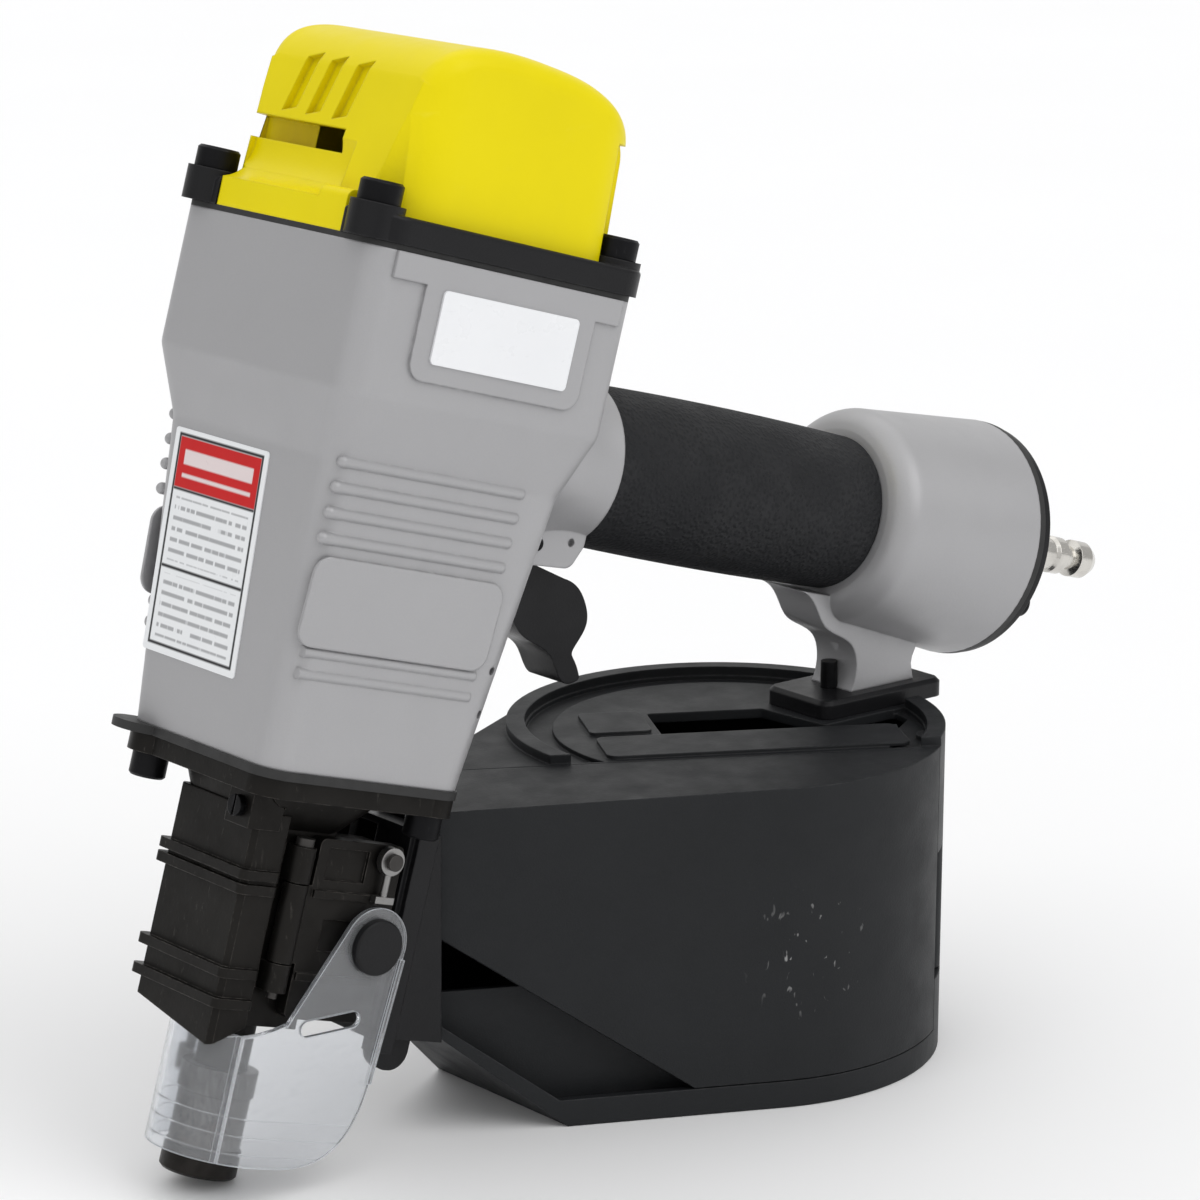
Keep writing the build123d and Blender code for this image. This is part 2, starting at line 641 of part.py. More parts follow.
with BuildPart() as cover_screw:
    with Locations((ear.X - 6.5, ear.Y, ear.Z)):
        Cylinder(3, 2, rotation=(0, 90, 0))
    with Locations((ear.X - 1.2, ear.Y, ear.Z)):
        Cylinder(1.75, 9, rotation=(0, 90, 0))
    with Locations((ear.X - 7.3, ear.Y, ear.Z)):
        Box(1.4, 0.9, 7, mode=Mode.SUBTRACT)
save(cover_screw.part, "cover_screw")

with BuildPart() as door_hinge_pin:
    with Locations((hinge_x, hinge_y, 76.5)):
        Cylinder(pin_r, 43)
    with Locations((hinge_x, hinge_y, 99.2)):
        Cylinder(2.6, 2.4)
save(door_hinge_pin.part, "door_hinge_pin")

# ---- Feed door with its latch, swinging on the nose ---------------------------------------
door_y0, door_y1 = -21.0, -16.6
door_z0, door_z1 = 50.0, 101.0
latch_x, latch_z = 25.0, 97.0
button_x, button_z = 24.5, 73.0
with BuildPart() as feed_door:
    with Locations(((1.5 + rail_x1) / 2, (door_y0 + door_y1) / 2, (door_z0 + door_z1) / 2)):
        Box(rail_x1 - 1.5, door_y1 - door_y0, door_z1 - door_z0)
    fillet(feed_door.edges().filter_by(Axis.Y), 2)
    for low, high in door_knuckles:
        with Locations((hinge_x, hinge_y, (low + high) / 2)):
            Cylinder(knuckle_r, high - low)
        with Locations((hinge_x + 3.5, hinge_y + 0.2, (low + high) / 2)):
            Box(5, 3.4, high - low)
    # Inner guide rib that closes the nail track.
    with Locations((20.2, -10.4, 77)):
        Box(16.4, 12.6, 46)
    # Outer ribs and pockets.
    with Locations((15, door_y0, 85.5), (15, door_y0, 62)):
        Box(26, 2, 2.2)
    with Locations((12, door_y0, 94), (15, door_y0, 74)):
        Box(14, 2, 9, mode=Mode.SUBTRACT)
    for low, high in door_knuckles:
        with Locations((hinge_x, hinge_y, (low + high) / 2)):
            Cylinder(pin_r + 0.06, high - low + 1, mode=Mode.SUBTRACT)
    with Locations((latch_x, door_y0 + 2, latch_z)):
        Cylinder(1.55, 5, rotation=(90, 0, 0), mode=Mode.SUBTRACT)
    with Locations((button_x, door_y0 + 2, button_z)):
        Cylinder(2.5, 10, rotation=(90, 0, 0), mode=Mode.SUBTRACT)
save(feed_door.part, "feed_door")

latch_y = -23.3
latch_drop = 12.0
with BuildPart() as door_latch:
    with Locations((latch_x, latch_y, latch_z)):
        Cylinder(4, 2.4, rotation=(90, 0, 0))
    with Locations((latch_x, latch_y, latch_z - latch_drop / 2)):
        Cylinder(1.1, latch_drop)
    with Locations((latch_x, latch_y, latch_z - latch_drop + 0.9)):
        Box(6.5, 2.4, 2)
    with Locations((latch_x, latch_y, latch_z)):
        Cylinder(1.55, 4, rotation=(90, 0, 0), mode=Mode.SUBTRACT)
save(door_latch.part, "door_latch")

with BuildPart() as latch_pin:
    with Locations((latch_x, -21.9, latch_z)):
        Cylinder(1.5, 6, rotation=(90, 0, 0))
    with Locations((latch_x, -25.3, latch_z)):
        Cylinder(2.4, 1.4, rotation=(90, 0, 0))
save(latch_pin.part, "latch_pin")

# ---- Shield: clear sheet, a fixed front half and a side half carried by the door ----------
sheet_t = 1.6
wrap_r = 19.0
wrap_y = shield_y + wrap_r
shield_z = 8.0
front_split, side_split = 8.7, 8.3      # the door's turn keeps the halves apart


def wrap_sheet(x_end, top):
    """Clear sheet bent round the front of the nose, up to the cover's sloping edge."""
    with BuildPart() as sheet:
        with BuildSketch(Plane.XY.offset(shield_z)):
            with Locations((0, wrap_y)):
                Circle(wrap_r + sheet_t / 2)
                Circle(wrap_r - sheet_t / 2, mode=Mode.SUBTRACT)
            with Locations((30 + x_end, wrap_y)):
                Rectangle(60, 60, mode=Mode.SUBTRACT)
        extrude(amount=top - shield_z)
        split(bisect_by=lower, keep=Keep.BOTTOM)
    return sheet.part


with BuildPart() as shield_front:
    add(wrap_sheet(-0.1, 44))
    with Locations((hinge_x, hinge_y, 30)):
        Cylinder(front_split, 60, mode=Mode.SUBTRACT)
save(shield_front.part, "shield_front")

with BuildPart() as shield_strip:
    add(wrap_sheet(0.2, 50).moved(Location((0, 0, -1))))
    with Locations((hinge_x, hinge_y, shield_z + 24)):
        Cylinder(side_split, 48, mode=Mode.INTERSECT)

lobe_r = 11.0
with BuildPart() as shield_side:
    add(shield_strip.part)
    with BuildSketch(Plane.XZ.offset(-shield_y - sheet_t / 2)):
        with BuildLine():
            Line((0.1, shield_z), (4, shield_z))
            Spline((4, shield_z), (25, 14), (33, 33), tangents=[(1, 0), (0.1, 1)])
            Line((33, 33), (button_x + lobe_r, button_z))
            ThreePointArc((button_x + lobe_r, button_z), (button_x + 2, button_z + lobe_r - 0.2),
                          (button_x - lobe_r + 1.2, button_z + 4.6))
            Polyline((button_x - lobe_r + 1.2, button_z + 4.6), (0.1, 48), (0.1, shield_z))
        make_face()
        with Locations((button_x, button_z)):
            Circle(2.55, mode=Mode.SUBTRACT)
        with Locations((15, 50)):
            SlotOverall(20, 4.6, rotation=14, mode=Mode.SUBTRACT)
    extrude(amount=sheet_t)
    # Stiffening rib along the rear edge.
    with BuildSketch(Plane.XZ.offset(-shield_y + sheet_t / 2)):
        with BuildLine():
            Polyline((31.6, 34), (33.2, 34), (button_x + lobe_r, 70),
                     (button_x + lobe_r - 1.6, 70), close=True)
        make_face()
    extrude(amount=0.8)
save(shield_side.part, "shield_side")

with BuildPart() as shield_pin:
    with Locations((button_x, shield_y - sheet_t / 2 - 1.25, button_z)):
        Cylinder(8, 2.5, rotation=(90, 0, 0))
    fillet(shield_pin.faces().sort_by(Axis.Y)[0].edges(), 0.8)
    with Locations((button_x, -22, button_z)):
        Cylinder(2.45, 7.2, rotation=(90, 0, 0))
save(shield_pin.part, "shield_pin")

# ---- Contact foot, its rod to the trigger and their spring --------------------------------
foot_top = 31.0
with BuildPart() as contact_foot:
    with BuildSketch(Plane.XZ):
        with BuildLine():
            Polyline((0, 0), (tip_r - 0.8, 0), (tip_r, 0.8), (tip_r, 8), (tip_r - 0.7, 8.7),
                     (tip_r - 0.7, foot_top - 8), (tip_r, foot_top - 7.3), (tip_r, foot_top),
                     (0, foot_top), close=True)
        make_face()
    revolve(axis=Axis.Z)
    with Locations((rod_x, 17, foot_top - 3.5)):
        Box(8, 20, 7)
    with BuildSketch(Plane.XZ):
        with BuildLine():
            Polyline((0, -1), (6, -1), (6, 3), (snout_r + 0.3, 4), (snout_r + 0.3, foot_top + 1),
                     (0, foot_top + 1), close=True)
        make_face()
    revolve(axis=Axis.Z, mode=Mode.SUBTRACT)
    with Locations((rod_x, rod_y, foot_top - 3.5)):
        Cylinder(rod_r, 9, mode=Mode.SUBTRACT)
save(contact_foot.part, "contact_foot")

rod_top = 168.5
with BuildPart() as contact_rod:
    with BuildLine() as rod_path:
        FilletPolyline((rod_x, rod_y, foot_top - 7), (rod_x, rod_y, 82), (45, 19, 88),
                       (45, 19, 118), (53, 0, 132), (53, 0, rod_top), radius=4)
    with BuildSketch(Plane((rod_x, rod_y, foot_top - 7))):
        Circle(rod_r)
    sweep()
    with Locations((rod_x, rod_y, 39)):
        Cylinder(4, 2)
save(contact_rod.part, "contact_rod")
save(coil_spring(3.2, 0.6, 40.7, 47, 4, rod_x, rod_y), "contact_spring")

# ---- Nail feeder between the magazine and the nose ----------------------------------------
track_half = 4.5
feeder_x0 = 33.0
feed_y, feed_z = 20.0, 66.0
feed_r = 6.6
feeder_top = 106.0
rear_high = (tool_xz(neck_x - 1, drum_h)[0], feeder_top)
rear_low = (tool_xz(neck_x - 1, 36)[0], nose_bottom)
with BuildSketch(Plane.XZ) as feeder_side:
    with BuildLine():
        Polyline((feeder_x0, nose_bottom), (feeder_x0, feeder_top), rear_high, rear_low, close=True)
    make_face()
with BuildPart() as feeder_body:
    extrude(feeder_side.sketch, amount=20)
    extrude(feeder_side.sketch, amount=-13)
    # Front column up to the nose plate, cut back where the cover swings past it.
    with Locations((38.2, -19, 77)):
        Box(7, 6, 70)
    with Locations((42.1, -20, feeder_top + 6)):
        Box(8, 8, 14, mode=Mode.SUBTRACT)
    # Rounded toe at the bottom.
    with BuildSketch(Plane.XZ.offset(9)):
        with Locations((47.5, 48)):
            RectangleRounded(13, 25, 6)
    extrude(amount=5)
    # Nail track right through.
    with Locations((45, 0, 77)):
        Box(60, 2 * track_half, 54, mode=Mode.SUBTRACT)
    # Pad for the feed cylinder.
    with Locations((38, 13.5, feed_z)):
        Box(9, 3, 10)
    with Locations((38, feed_y, feed_z)):
        Cylinder(feed_r + 0.9, 40, rotation=(0, 90, 0), mode=Mode.SUBTRACT)
save(feeder_body.part, "feeder_body")

with BuildPart() as feeder_cylinder:
    with Locations((42, feed_y, feed_z)):
        Cylinder(feed_r + 0.8, 26, rotation=(0, 90, 0))
        Cylinder(feed_r - 1.6, 26, rotation=(0, 90, 0), mode=Mode.SUBTRACT)
    with Locations((30, feed_y, feed_z)):
        Cylinder(feed_r, 2, rotation=(0, 90, 0))
        Cylinder(1.8, 4, rotation=(0, 90, 0), mode=Mode.SUBTRACT)
save(feeder_cylinder.part, "feeder_cylinder")

with BuildPart() as feeder_cap:
    with Locations((56, feed_y, feed_z)):
        Cylinder(feed_r + 0.8, 2, rotation=(0, 90, 0))
    chamfer(feeder_cap.faces().sort_by(Axis.X)[-1].edges(), 0.8)
save(feeder_cap.part, "feeder_cap")

with BuildPart() as feed_piston:
    with Locations((35, feed_y, feed_z)):
        Cylinder(feed_r - 1.65, 4, rotation=(0, 90, 0))
    with Locations((25, feed_y, feed_z)):
        Cylinder(1.7, 18, rotation=(0, 90, 0))
    with Locations((14, 18, 68)):
        Box(5, 8, 13)
    with Locations((14, 15.5, 77.5)):
        Cylinder(1.2, 9)
save(feed_piston.part, "feed_piston")

with BuildPart() as feed_pawl:
    with Locations((14, 15.5, 76.3)):
        Cylinder(2.6, 3)
    with Locations((14.6, 10.2, 76.3)):
        Box(3, 11, 3)
    with Locations((14, 15.5, 76.3)):
        Cylinder(1.3, 6, mode=Mode.SUBTRACT)
save(feed_pawl.part, "feed_pawl")

# ---- Trigger and its valve ----------------------------------------------------------------
pivot_x, pivot_z = 59.0, 190.5
lever_x, lever_z = 81.0, 170.0
with BuildPart() as trigger:
    with BuildSketch(Plane.XZ) as blade:
        with BuildLine():
            Polyline((54.6, 189), (63.4, 191.5), (66, 184), (78, 181.5))
            Spline((78, 181.5), (87.5, 176), (90, 169), (87, 161), (92, 153.5),
                   tangents=[(1, -0.1), (0.5, -1)])
            Spline((92, 153.5), (87, 151.5), (79.5, 158.5), (63, 167), (57, 178), (54.6, 189),
                   tangents=[(-0.6, -0.5), (-0.2, 1)])
        make_face()
        fillet(blade.vertices().sort_by(Axis.Z)[-4:], 1.2)
    extrude(amount=8, both=True)
    with Locations((pivot_x, 0, pivot_z)):
        Cylinder(4.6, 16, rotation=(90, 0, 0))
    # Channel for the contact lever.
    with BuildSketch(Plane.XZ):
        with BuildLine():
            Polyline((45, 198), (45, 160), (62, 171.5), (84, 163.5), (86, 172), (93, 180), (93, 198),
                     close=True)
        make_face()
    extrude(amount=4.2, both=True, mode=Mode.SUBTRACT)
    with Locations((pivot_x, 0, pivot_z)):
        Cylinder(2.06, 20, rotation=(90, 0, 0), mode=Mode.SUBTRACT)
    with Locations((lever_x, 0, lever_z)):
        Cylinder(1.25, 12, rotation=(90, 0, 0), mode=Mode.SUBTRACT)
save(trigger.part, "trigger")

with BuildPart() as trigger_pin:
    with Locations((pivot_x, 0, pivot_z)):
        Cylinder(2, 31, rotation=(90, 0, 0))
save(trigger_pin.part, "trigger_pin")

with BuildPart() as trigger_lever:
    with BuildSketch(Plane.XZ):
        with BuildLine():
            Polyline((82.5, 172), (67, 178), (56, 175), (48, 174), (48, 171.6), (60, 172.2),
                     (80, 168), close=True)
        make_face()
    extrude(amount=3.6, both=True)
    with Locations((lever_x, 0, lever_z)):
        Cylinder(2.2, 7.2, rotation=(90, 0, 0))
        Cylinder(1.26, 9, rotation=(90, 0, 0), mode=Mode.SUBTRACT)
save(trigger_lever.part, "trigger_lever")

with BuildPart() as lever_pin:
    with Locations((lever_x, 0, lever_z)):
        Cylinder(1.2, 11, rotation=(90, 0, 0))
save(lever_pin.part, "lever_pin")

valve_base = 197.2
with BuildPart() as trigger_valve:
    with Locations((valve_x, 0, valve_base + 7)):
        Cylinder(8.5, 14)
    with Locations((valve_x, 0, valve_base + 9)):
        Cylinder(5, 12, mode=Mode.SUBTRACT)
    with Locations((valve_x, 0, valve_base + 5)):
        Cylinder(2.1, 20, mode=Mode.SUBTRACT)
save(trigger_valve.part, "trigger_valve")

with BuildPart() as valve_plunger:
    with Locations((valve_x, 0, 194.5)):
        Cylinder(2, 22)
    with Locations((valve_x, 0, valve_base + 4.4)):
        Cylinder(4.4, 2.4)
save(valve_plunger.part, "valve_plunger")
save(coil_spring(3.3, 0.5, valve_base + 6.2, valve_base + 10.5, 3, valve_x, 0), "plunger_spring")

# ---- Badge and label plates, left blank ---------------------------------------------------
badge_plane = Plane((5, -top_wide / 2 - 0.9, 245), x_dir=(1, 0, 0), z_dir=(0, -1, 0))
with BuildPart() as badge_plate:
    with BuildSketch(badge_plane):
        RectangleRounded(48, 20, 1.5)
    extrude(amount=0.7)
save(badge_plate.part, "badge_plate")

label_z0, label_z1 = 140.0, 202.4
label_mid = (label_z0 + label_z1) / 2
slope = degrees(atan2(front_x(label_z0) - front_x(label_z1), label_z1 - label_z0))
label_plane = Plane((front_x(label_mid), 9.5, label_mid), x_dir=(0, -1, 0),
                    z_dir=(-cos(radians(slope)), 0, -sin(radians(slope))))
with BuildPart() as front_label:
    with BuildSketch(label_plane):
        RectangleRounded(44, label_z1 - label_z0, 1)
    extrude(amount=0.3)
save(front_label.part, "front_label")

# ---- Drum magazine (standing frame) -------------------------------------------------------
def tangent_point(radius, px, py, side):
    """Where the line from (px, py) touches the drum."""
    turn = atan2(py, px) + side * acos(radius / hypot(px, py))
    return radius * cos(turn), radius * sin(turn)


def teardrop(inset=0.0, front=neck_x):
    """Plan of the magazine: the drum and its tapering neck."""
    radius = drum_r - inset
    near, far = (front, neck_near + inset), (front, neck_far - inset)
    with BuildSketch() as plan:
        Circle(radius)
        with BuildLine():
            Polyline((0, 0), tangent_point(radius, *near, 1), near, far,
                     tangent_point(radius, *far, -1), close=True)
        make_face()
    return plan.sketch


neck_floor = [(-87.0, 0.0), (neck_x, 30.0)]         # underside of the rising neck floor
seam_mid, seam_dir = Vector(-19.6, -24.4), Vector(95, -52).normalized()
hinge_ring_r = 61.8
barrel_r = 4.4
cover_hinge = (hinge_ring_r * cos(radians(cover_angle)), hinge_ring_r * sin(radians(cover_angle)))
bay_floor, bay_top = 4.0, drum_h - wall
seam_turn = degrees(atan2(seam_dir.Y, seam_dir.X))

with BuildPart() as under_neck:
    with BuildSketch(Plane.XZ):
        with BuildLine():
            Polyline(neck_floor[0], neck_floor[1], (neck_x - 5, 34), (neck_x - 5, -1), (-87, -1),
                     close=True)
        make_face()
    extrude(amount=60, both=True)

with BuildPart() as magazine_shell:
    with BuildSketch():
        add(teardrop())
    extrude(amount=drum_h)
    add(under_neck.part, mode=Mode.SUBTRACT)

with BuildPart() as magazine_bay:
    with BuildSketch(Plane.XY.offset(bay_floor)):
        add(teardrop(wall, neck_x - 1))
    extrude(amount=bay_top - bay_floor)
    with BuildSketch(Plane.XZ):
        with BuildLine():
            Polyline((-84, bay_floor - 1), (-84, bay_floor), (neck_x - 2, 35.5), (neck_x - 2, -1),
                     close=True)
        make_face()
    extrude(amount=60, both=True, mode=Mode.SUBTRACT)


def cover_zone(gap):
    """Space in front of the seam that belongs to the opening cover, less a gap."""
    with BuildPart() as zone:
        with BuildSketch(Plane.XY.offset(lip_h + gap)):
            with Locations(Location((seam_mid.X, seam_mid.Y, 0), (0, 0, seam_turn))):
                with Locations((0, -60 - gap)):
                    Rectangle(320, 120)
            with Locations((cover_hinge[0] + 50 - 5 - gap, -50)):
                Rectangle(100, 100, mode=Mode.SUBTRACT)
        extrude(amount=drum_h)
        # The far wall of the neck stays with the body.
        with BuildSketch(Plane.XY):
            add(teardrop(wall + 0.2 + gap))
            with Locations((-20, -45)):
                Rectangle(220, 70)
        extrude(amount=2 * drum_h, mode=Mode.INTERSECT)
        # Open lower corner towards the nose.
        with BuildSketch(Plane.XZ):
            with BuildLine():
                Polyline((neck_x - 8, 60), (neck_x, 60), (-52, lip_h), (-52, 0), (neck_x - 8, 0),
                         close=True)
            make_face()
        extrude(amount=100, both=True, mode=Mode.SUBTRACT)
    return zone.part


rim_h = 2.8
groove_d = 1.4
plate_rise = 1.1
seam_frame = Location((seam_mid.X, seam_mid.Y, 0), (0, 0, seam_turn))
window = [(-20.3, 5.6), (-8.7, 26.7), (22.9, 9.3), (25.5, -16.5), (54, -16.5), (53, -24), (43.8, -29.5)]
with BuildSketch() as seam_cut:
    with Locations(seam_frame):
        with Locations((0, -59)):
            Rectangle(320, 120)
front_of_seam = seam_cut.sketch
with BuildSketch() as seat_cut:
    with Locations((65, 0)):
        Rectangle(76, 34)
bracket_seat = seat_cut.sketch
with BuildPart() as magazine_body:
    add(magazine_shell.part)
    add(magazine_bay.part, mode=Mode.SUBTRACT)
    add(cover_zone(0.0), mode=Mode.SUBTRACT)
    with BuildSketch(Plane.XZ.offset(-4)):
        with BuildLine():
            Polyline((neck_x - 8, 60.1), (neck_x, 60.1), (-52, lip_h), (-89, lip_h),
                     (neck_x - 8, 40.3), close=True)
        make_face()
    extrude(amount=90, mode=Mode.SUBTRACT)
    # Inner skirt that backs the cover's open lower corner.
    with BuildSketch(Plane.XY.offset(bay_floor - 1)):
        add(teardrop(9.0))
        add(teardrop(11.0), mode=Mode.SUBTRACT)
        with Locations((80, 0), (-50, 65)):
            Rectangle(200, 130, mode=Mode.SUBTRACT)
    extrude(amount=38)
    add(under_neck.part, mode=Mode.SUBTRACT)
    # Seat of the platform post.
    with Locations((0, 0, bay_floor + 0.5)):
        Cylinder(9, 3)
        Cylinder(5.05, 3, mode=Mode.SUBTRACT)
    # Raised rim along the back with a groove inside it.
    with BuildSketch(Plane.XY.offset(drum_h)):
        Circle(drum_r)
        Circle(drum_r - 5.5, mode=Mode.SUBTRACT)
        add(front_of_seam, mode=Mode.SUBTRACT)
        add(bracket_seat, mode=Mode.SUBTRACT)
    extrude(amount=rim_h)
    with BuildSketch(Plane.XY.offset(drum_h)):
        Circle(drum_r - 6)
        Circle(drum_r - 14, mode=Mode.SUBTRACT)
        add(front_of_seam, mode=Mode.SUBTRACT)
        add(bracket_seat, mode=Mode.SUBTRACT)
    extrude(amount=-groove_d, mode=Mode.SUBTRACT)
    # Raised plates beside the seam, and the window through which the coil is seen.
    with BuildSketch(Plane.XY.offset(drum_h)):
        with Locations(seam_frame):
            with Locations((10, 13)):
                RectangleRounded(92, 21, 3)
            with Locations((-27, 39)):
                RectangleRounded(19, 22, 2)
    extrude(amount=plate_rise)
    with BuildSketch(Plane.XY.offset(drum_h)):
        Polygon(*window, align=None)
        fillet(vertices(), 1.5)
    extrude(amount=-2 * wall, mode=Mode.SUBTRACT)
    # Hinge knuckles at top and bottom of the barrel.
    for low, high in ((3.0, 24.0), (64.0, bay_top + wall)):
        with BuildSketch(Plane.XY.offset(low)):
            with Locations(cover_hinge):
                Circle(barrel_r)
        extrude(amount=high - low)
    with BuildSketch(Plane.XY.offset(24)):
        with Locations(cover_hinge):
            Circle(barrel_r + 1.2)
        with Locations((cover_hinge[0] - 4.9, cover_hinge[1] - 6)):
            Rectangle(14.6, 13)
    extrude(amount=40, mode=Mode.SUBTRACT)
    with Locations((*cover_hinge, drum_h / 2)):
        Cylinder(1.62, drum_h + 4, mode=Mode.SUBTRACT)
    # Holes of the bracket screws.
    with Locations(*[(x, 0, drum_h) for x in bracket_screws_x]):
        Cylinder(2.7, 12, mode=Mode.SUBTRACT)
save(magazine_body.part, "magazine_body", upright)

with BuildPart() as magazine_cover:
    add(magazine_shell.part)
    add(magazine_bay.part, mode=Mode.SUBTRACT)
    add(cover_zone(cover_gap), mode=Mode.INTERSECT)
    # Middle knuckle with its strap to the wall.
    with BuildSketch(Plane.XY.offset(24.4)):
        with Locations(cover_hinge):
            Circle(barrel_r)
        with BuildLine():
            Polyline((cover_hinge[0], cover_hinge[1] - 3.9), (cover_hinge[0], cover_hinge[1] - 1),
                     (cover_hinge[0] - 10, cover_hinge[1] - 3.6),
                     (cover_hinge[0] - 10, cover_hinge[1] - 11.3), close=True)
        make_face()
    extrude(amount=39.2)
    with Locations((*cover_hinge, drum_h / 2)):
        Cylinder(1.66, drum_h, mode=Mode.SUBTRACT)
save(magazine_cover.part, "magazine_cover", upright)

with BuildPart() as cover_hinge_pin:
    with Locations((*cover_hinge, 49)):
        Cylinder(1.6, 94)
save(cover_hinge_pin.part, "cover_hinge_pin", upright)

with BuildPart() as magazine_bracket:
    with BuildSketch(Plane.XY.offset(drum_h)):
        with Locations((53, 0)):
            RectangleRounded(50, 28, 4)
    extrude(amount=arm_land - drum_h)
    chamfer(magazine_bracket.faces().sort_by(Axis.Z)[-1].edges(), 1.2)
    with Locations(*[(x, 0, drum_h) for x in bracket_screws_x]):
        Cylinder(2.7, 14, mode=Mode.SUBTRACT)
save(magazine_bracket.part, "magazine_bracket", upright)
save(group(socket_screw(x, 0, bay_top, 2.6, 17, 5, 5, down=True)
           for x in bracket_screws_x), "bracket_screws", upright)

with BuildPart() as platform_post:
    with Locations((0, 0, 33)):
        Cylinder(5, 58)
    chamfer(platform_post.faces().sort_by(Axis.Z)[-1].edges(), 1)
save(platform_post.part, "platform_post", upright)

with BuildPart() as nail_platform:
    with Locations((0, 0, 17)):
        Cylinder(46, 2.4)
    with Locations((0, 0, 21)):
        Cylinder(9, 10)
    with Locations((0, 0, 20)):
        Cylinder(5.05, 20, mode=Mode.SUBTRACT)
save(nail_platform.part, "nail_platform", upright)
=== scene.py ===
import json
from math import cos, radians, sin

import bpy
from mathutils import Matrix, Vector

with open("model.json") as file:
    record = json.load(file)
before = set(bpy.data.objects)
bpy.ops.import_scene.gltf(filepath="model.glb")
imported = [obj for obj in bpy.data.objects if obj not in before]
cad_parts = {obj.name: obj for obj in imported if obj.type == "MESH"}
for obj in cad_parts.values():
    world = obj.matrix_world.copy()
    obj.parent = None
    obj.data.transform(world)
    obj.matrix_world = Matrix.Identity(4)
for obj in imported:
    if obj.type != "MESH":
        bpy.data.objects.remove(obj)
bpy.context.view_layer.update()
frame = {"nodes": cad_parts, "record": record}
nodes = frame["nodes"]
slot_of = {s["node"]: s["material_slot"] for s in frame["record"]["subparts"]}

# The tool frame: the driver runs along Z from the nose tip and the handle points to +X.
# It leans back by LEAN from the standing frame, in which everything is loaded.
MM = 0.001
LEAN = radians(16.09)
NOSE = Vector((-0.1945, 0.0, 0.0030487))


# ---- Materials ----------------------------------------------------------------------------
class Look:
    """A node material: one Principled shader with patterns in object space, in metres."""

    def __init__(self, name, **shader):
        self.material = bpy.data.materials.new(name)
        self.material.use_nodes = True
        self.tree = self.material.node_tree
        self.shader = self.tree.nodes["Principled BSDF"]
        for key, value in shader.items():
            self.put(self.shader.inputs[key.replace("_", " ")], value)
        self.place = self.node("ShaderNodeTexCoord").outputs["Object"]
        self.height = None
        self.round_normal = None

    def put(self, socket, value):
        if isinstance(value, bpy.types.NodeSocket):
            self.tree.links.new(value, socket)
        elif isinstance(value, tuple) and len(value) < len(socket.default_value):
            socket.default_value = (*value, 1.0)
        else:
            socket.default_value = value

    def node(self, kind, inputs=None, **settings):
        made = self.tree.nodes.new(kind)
        for key, value in settings.items():
            setattr(made, key, value)
        for key, value in (inputs or {}).items():
            self.put(made.inputs[key], value)
        return made

    def calc(self, operation, a, b=0.0):
        made = self.node("ShaderNodeMath", {0: a, 1: b}, operation=operation)
        return made.outputs[0]

    def noise(self, scale, detail=3.0, roughness=0.55, place=None, distortion=0.0):
        inputs = {"Vector": place or self.place, "Scale": scale, "Detail": detail,
                  "Roughness": roughness, "Distortion": distortion}
        return self.node("ShaderNodeTexNoise", inputs).outputs[0]

    def cells(self, scale, feature="F1", place=None):
        return self.node("ShaderNodeTexVoronoi", {"Vector": place or self.place, "Scale": scale},
                         feature=feature).outputs[0]

    def ramp(self, value, low, high, to_low=0.0, to_high=1.0):
        inputs = {0: value, 1: low, 2: high, 3: to_low, 4: to_high}
        return self.node("ShaderNodeMapRange", inputs).outputs[0]

    def mix(self, factor, a, b):
        return self.node("ShaderNodeMix", {0: factor, 6: a, 7: b}, data_type="RGBA").outputs[2]

    def stretched(self, x, y, z):
        return self.node("ShaderNodeMapping", {"Vector": self.place, "Scale": (x, y, z)}).outputs[0]

    def tool_mm(self):
        """Tool-frame coordinates in millimetres, as the separate values X, Y and Z."""
        inputs = {"Vector": self.place, "Location": NOSE, "Rotation": (0.0, LEAN, 0.0),
                  "Scale": (MM, MM, MM)}
        mapped = self.node("ShaderNodeMapping", inputs, vector_type="TEXTURE").outputs[0]
        return self.node("ShaderNodeSeparateXYZ", {0: mapped}).outputs

    def distance_mm(self, place):
        """Millimetres from a place in the standing frame."""
        here = self.stretched(1 / MM, 1 / MM, 1 / MM)
        made = self.node("ShaderNodeVectorMath", {0: here, 1: place}, operation="DISTANCE")
        return made.outputs["Value"]

    def rounded(self, radius):
        """Normal that rounds sharp edges by `radius` metres."""
        self.round_normal = self.node("ShaderNodeBevel", {"Radius": radius}, samples=6).outputs[0]
        return self.round_normal

    def edges(self, low=0.985, high=0.86):
        """1 on outer and inner edges of the rounded normal, 0 on flat ground."""
        true = self.node("ShaderNodeNewGeometry").outputs["Normal"]
        dot = self.node("ShaderNodeVectorMath", {0: self.round_normal, 1: true}, operation="DOT_PRODUCT")
        return self.ramp(dot.outputs["Value"], low, high)

    def cavity(self, distance, low=0.35, high=0.95):
        """1 in corners and slots, 0 in the open."""
        around = self.node("ShaderNodeAmbientOcclusion", {"Distance": distance}, samples=6, only_local=True)
        return self.ramp(around.outputs["AO"], high, low)

    def raise_by(self, value, depth):
        """Adds `depth` metres times value to the surface relief."""
        scaled = self.calc("MULTIPLY", value, depth)
        self.height = scaled if self.height is None else self.calc("ADD", self.height, scaled)

    def colour(self, socket):
        self.put(self.shader.inputs["Base Color"], socket)

    def rough(self, socket):
        self.put(self.shader.inputs["Roughness"], socket)

    def done(self):
        normal = self.round_normal
        if self.height is not None:
            inputs = {"Height": self.height, "Distance": 1.0, "Strength": 1.0}
            if normal is not None:
                inputs["Normal"] = normal
            normal = self.node("ShaderNodeBump", inputs).outputs[0]
        if normal is not None:
            self.put(self.shader.inputs["Normal"], normal)
        return self.material


